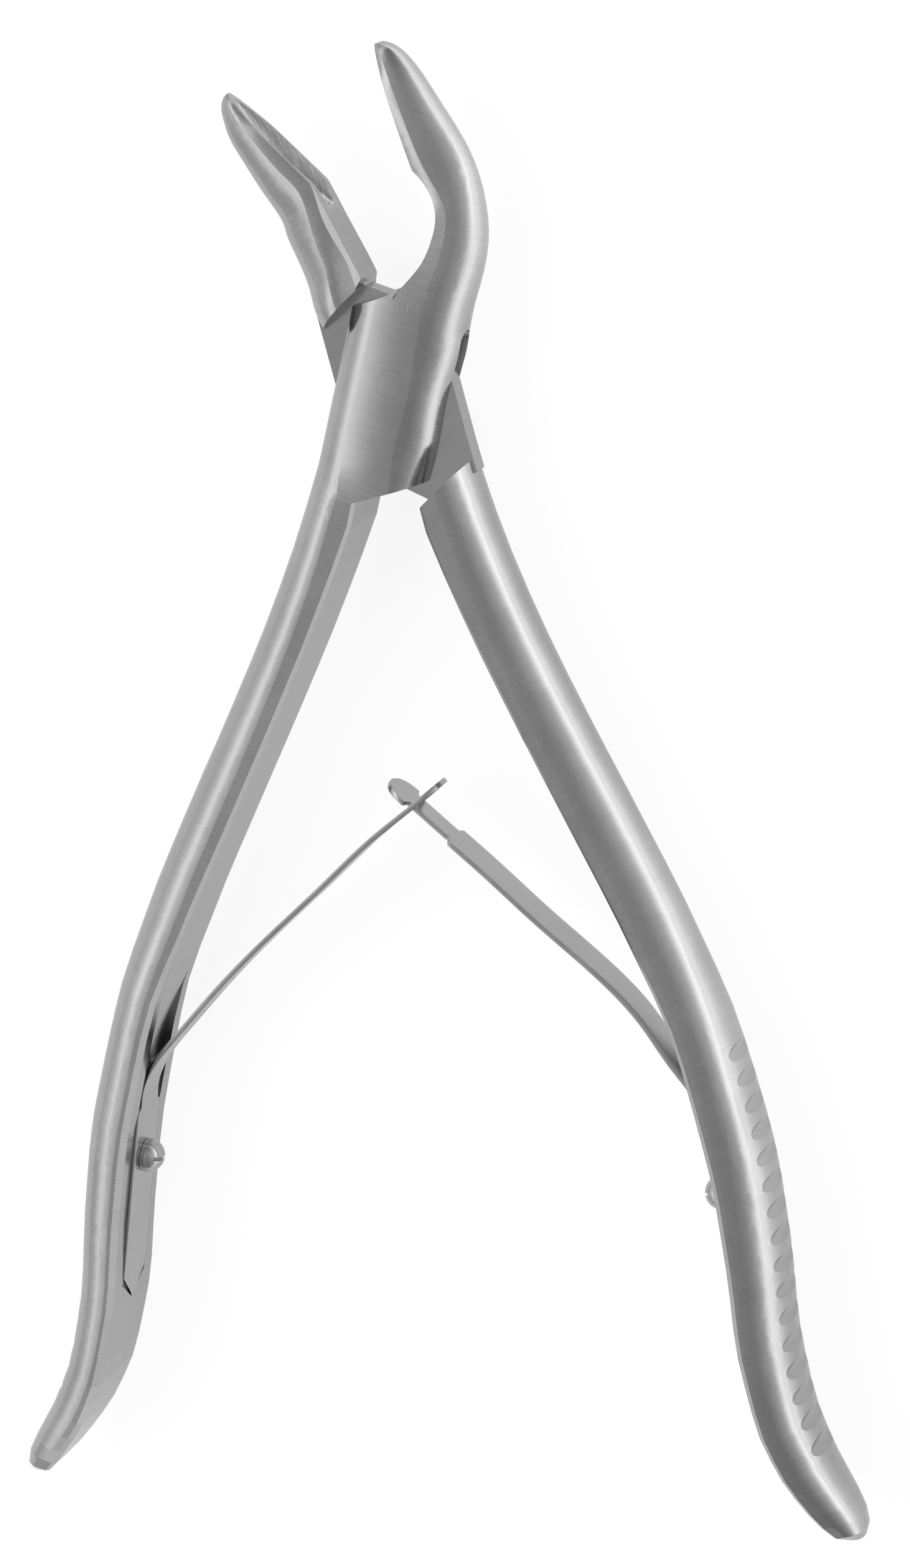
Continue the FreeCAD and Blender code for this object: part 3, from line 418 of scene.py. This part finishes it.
def makeLeaf(name, strip, v):
    along, line = smoothPath(strip, v)
    total = along[-1]
    rows = len(along)
    middle = v["columns"] // 2
    inside = middle // 2       # columns from the middle to the edge of the window
    bpy.ops.object.select_all(action="DESELECT")
    bpy.ops.mesh.primitive_grid_add(x_subdivisions=v["columns"], y_subdivisions=rows - 1, size=1.0)
    made = bpy.context.object
    made.name = name
    co = np.zeros(len(made.data.vertices) * 3)
    made.data.vertices.foreach_get("co", co)
    co = co.reshape(-1, 3)
    row = np.rint((co[:, 1] + 0.5) * (rows - 1)).astype(int)
    column = np.rint((co[:, 0] + 0.5) * v["columns"]).astype(int) - middle
    for i in range(len(co)):
        half, inner = halfWidths(along[row[i]], total, strip, v)
        c = abs(column[i])
        z = inner * c / inside if c <= inside else inner + (half - inner) * (c - inside) / inside
        co[i] = (*opened(line[row[i]], strip["side"]), (z if column[i] >= 0 else -z) + midPlane)
    made.data.vertices.foreach_set("co", (co * mm).ravel())
    made.data.update()
    if strip["window"]:
        low, high = total - strip["window"][1], total - strip["window"][0]
        slack = 0.01           # mm
        holes = [face.index for face in made.data.polygons
                 if all(abs(column[n]) <= inside and low - slack <= along[row[n]] <= high + slack
                        for n in face.vertices)]
        bpy.ops.object.mode_set(mode="EDIT")
        bpy.context.tool_settings.mesh_select_mode = (False, False, True)
        bpy.ops.mesh.select_all(action="DESELECT")
        bpy.ops.object.mode_set(mode="OBJECT")
        for face in holes:
            made.data.polygons[face].select = True
        bpy.ops.object.mode_set(mode="EDIT")
        bpy.ops.mesh.delete(type="FACE")
        bpy.ops.object.mode_set(mode="OBJECT")
    thick = made.modifiers.new("thickness", "SOLIDIFY")
    thick.thickness = v["thickness"] * mm
    thick.offset = 0.0
    bevel = made.modifiers.new("edge", "BEVEL")
    bevel.width = v["edgeRound"] * mm
    bevel.segments = 2
    bevel.limit_method = "ANGLE"
    bevel.angle_limit = math.radians(v["edgeAngle"])
    for modifier in list(made.modifiers):
        bpy.ops.object.modifier_apply(modifier=modifier.name)
    bpy.ops.object.shade_smooth_by_angle(angle=math.radians(v["smoothAngle"]))
    return made


leftLeaf = makeLeaf("leftLeafSpring", leftStrip, leaf)
rightLeaf = makeLeaf("rightLeafSpring", rightStrip, leaf)
# cold rolled spring steel strip: brighter than the forged halves, with a wider, softer light along it
leftLeaf.data.materials.append(
    makeSteel("rolledSpringSteelLeft", -48, strip=True, colour="CBCBCB", roughness=0.22))
rightLeaf.data.materials.append(
    makeSteel("rolledSpringSteelRight", 48, strip=True, colour="CBCBCB", roughness=0.22))
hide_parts("left_leaf_spring")
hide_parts("right_leaf_spring")
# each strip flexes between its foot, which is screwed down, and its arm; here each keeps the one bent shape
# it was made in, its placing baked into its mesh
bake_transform(leftLeaf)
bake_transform(rightLeaf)
print("leaves bent")


def turnScrew(name, node, body, strip):
    # the screw was driven home with its slot across the handle: a copy, turned a quarter on its own axis
    low, high = (Vector(opened(point, strip["side"])) for point in strip["foot"])
    way = (high - low).normalized()
    axis = Vector((-way.y, way.x, 0))
    centre = Vector((*opened(strip["screw"], strip["side"]), midPlane)) * mm
    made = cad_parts[node].copy()
    made.data = made.data.copy()
    made.name = name
    bpy.context.scene.collection.objects.link(made)
    bpy.ops.object.select_all(action="DESELECT")
    made.select_set(True)
    bpy.context.view_layer.objects.active = made
    bpy.ops.object.mode_set(mode="EDIT")
    bpy.ops.mesh.select_all(action="SELECT")
    bpy.ops.mesh.remove_doubles(threshold=0.001 * mm, use_sharp_edge_from_normals=True)
    bpy.ops.object.mode_set(mode="OBJECT")
    made.data.transform(Matrix.Translation(centre) @ Matrix.Rotation(math.radians(90), 4, axis)
                        @ Matrix.Translation(-centre))
    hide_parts(node)
    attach(made, body)


turnScrew("leftSpringScrew", "left_spring_screw", "slotted_half", leftStrip)
turnScrew("rightSpringScrew", "right_spring_screw", "tongue_half", rightStrip)
print("screws turned")

# pale floor and soft studio light
stage = {
    "floor": "FFFFFF",
    "floorSize": 6.0,          # m
    "floorDrop": 2.2,          # mm under the origin, just below the grips
    "paper": "F2F2F2",         # what the object sees of the floor
    "glow": 1.38,              # brings the open floor up to white
    "glowShare": 0.60,         # how much of the shadow is filled for the camera
    "mirrorShare": 0.50,       # how much of that white the metal sees
    "card": 0.74,              # white card lying to the right, which only the metal sees
    "cardWay": (0.943, 0.332, 0),
    "cardNear": 12.0,          # mm from the origin, along that way, to where the card starts
    "cardFar": 50.0,           # and to where it is at its full brightness
}
bpy.ops.mesh.primitive_plane_add(size=stage["floorSize"], location=(0, 0, -stage["floorDrop"] * mm))
floor = bpy.context.object
floor.name = "floor"
white = bpy.data.materials.new("mattPaperFloor")   # no gloss: an even white with the object's soft shadow
white.use_nodes = True
tree = white.node_tree
tree.nodes.clear()
glow = addNode(tree, "ShaderNodeEmission", {"Color": colour(stage["floor"]), "Strength": stage["glow"]})
matte = addNode(tree, "ShaderNodeBsdfDiffuse", {"Color": colour(stage["paper"])})
seen = addNode(tree, "ShaderNodeMixShader", (stage["glowShare"], matte, glow))
spot = addNode(tree, "ShaderNodeTexCoord").outputs["Object"]
beside = addNode(tree, "ShaderNodeVectorMath", (spot, stage["cardWay"]), operation="DOT_PRODUCT")
cardLight = addNode(tree, "ShaderNodeMapRange", (
    beside.outputs["Value"], stage["cardNear"] * mm, stage["cardFar"] * mm, 0.0, stage["card"]))
ray = addNode(tree, "ShaderNodeLightPath").outputs
mirrored = addNode(tree, "ShaderNodeMath", (ray["Is Glossy Ray"], stage["mirrorShare"]), operation="MULTIPLY")
inView = addNode(tree, "ShaderNodeMath", (ray["Is Camera Ray"], mirrored), operation="MAXIMUM")
paper = addNode(tree, "ShaderNodeMixShader", (inView, matte, seen))
cardLight = addNode(tree, "ShaderNodeMath", (cardLight, ray["Is Glossy Ray"]), operation="MULTIPLY")
card = addNode(tree, "ShaderNodeEmission", {"Strength": cardLight})
both = addNode(tree, "ShaderNodeAddShader", (paper, card))
addNode(tree, "ShaderNodeOutputMaterial", {"Surface": both})
floor.data.materials.append(white)

# tent of soft light: brightness by the direction round Y, in degrees from straight up off the floor,
# and how far each height along Y changes it
tent = {
    "round": [(-180, 0.68), (-150, 0.70), (-120, 0.66), (-100, 0.62), (-85, 0.62), (-70, 0.70),
              (-60, 0.82), (-50, 1.30), (-42, 1.45), (-34, 0.80), (-24, 0.46), (-10, 0.40), (4, 0.35),
              (18, 0.35), (32, 0.43), (44, 0.52), (54, 0.60), (64, 0.76), (74, 1.25), (84, 1.72),
              (94, 1.85), (104, 1.60), (118, 1.20), (136, 0.96), (158, 0.76), (180, 0.68)],
    "height": [(-90, 0.60), (-50, 0.70), (-30, 0.80), (-15, 0.92), (0, 1.08), (15, 1.22), (30, 1.15),
               (50, 0.85), (90, 0.60)],
    "top": 4.0,                # brightness at the end of both scales
}


def lightScale(tree, angle, levels):
    # grey by an angle in radians, through a smooth ramp
    low, high = levels[0][0], levels[-1][0]
    share = addNode(tree, "ShaderNodeMapRange", {
        "Value": angle, "From Min": math.radians(low), "From Max": math.radians(high)})
    curve = addNode(tree, "ShaderNodeValToRGB", {"Fac": share})
    ramp = curve.color_ramp
    ramp.interpolation = "B_SPLINE"
    for index, (degrees, level) in enumerate(levels):
        place = (degrees - low) / (high - low)
        if index < 2:          # a new ramp has two stops
            stop = ramp.elements[index]
            stop.position = place
        else:
            stop = ramp.elements.new(place)
        grey = level / tent["top"]
        stop.color = (grey, grey, grey, 1.0)
    return curve


world = bpy.data.worlds.new("studio")
bpy.context.scene.world = world
world.use_nodes = True
tree = world.node_tree
tree.nodes.clear()
way = addNode(tree, "ShaderNodeTexCoord").outputs["Generated"]
split = addNode(tree, "ShaderNodeSeparateXYZ", (way,)).outputs
turn = addNode(tree, "ShaderNodeMath", (split["X"], split["Z"]), operation="ARCTAN2")
rise = addNode(tree, "ShaderNodeMath", (split["Y"],), operation="ARCSINE")
light = addNode(tree, "ShaderNodeVectorMath", (
    lightScale(tree, turn, tent["round"]), lightScale(tree, rise, tent["height"])), operation="MULTIPLY")
back = addNode(tree, "ShaderNodeBackground", {"Color": light, "Strength": tent["top"] ** 2})
addNode(tree, "ShaderNodeOutputWorld", {"Surface": back})

bpy.context.scene.view_settings.view_transform = "Standard"
print("studio lit")
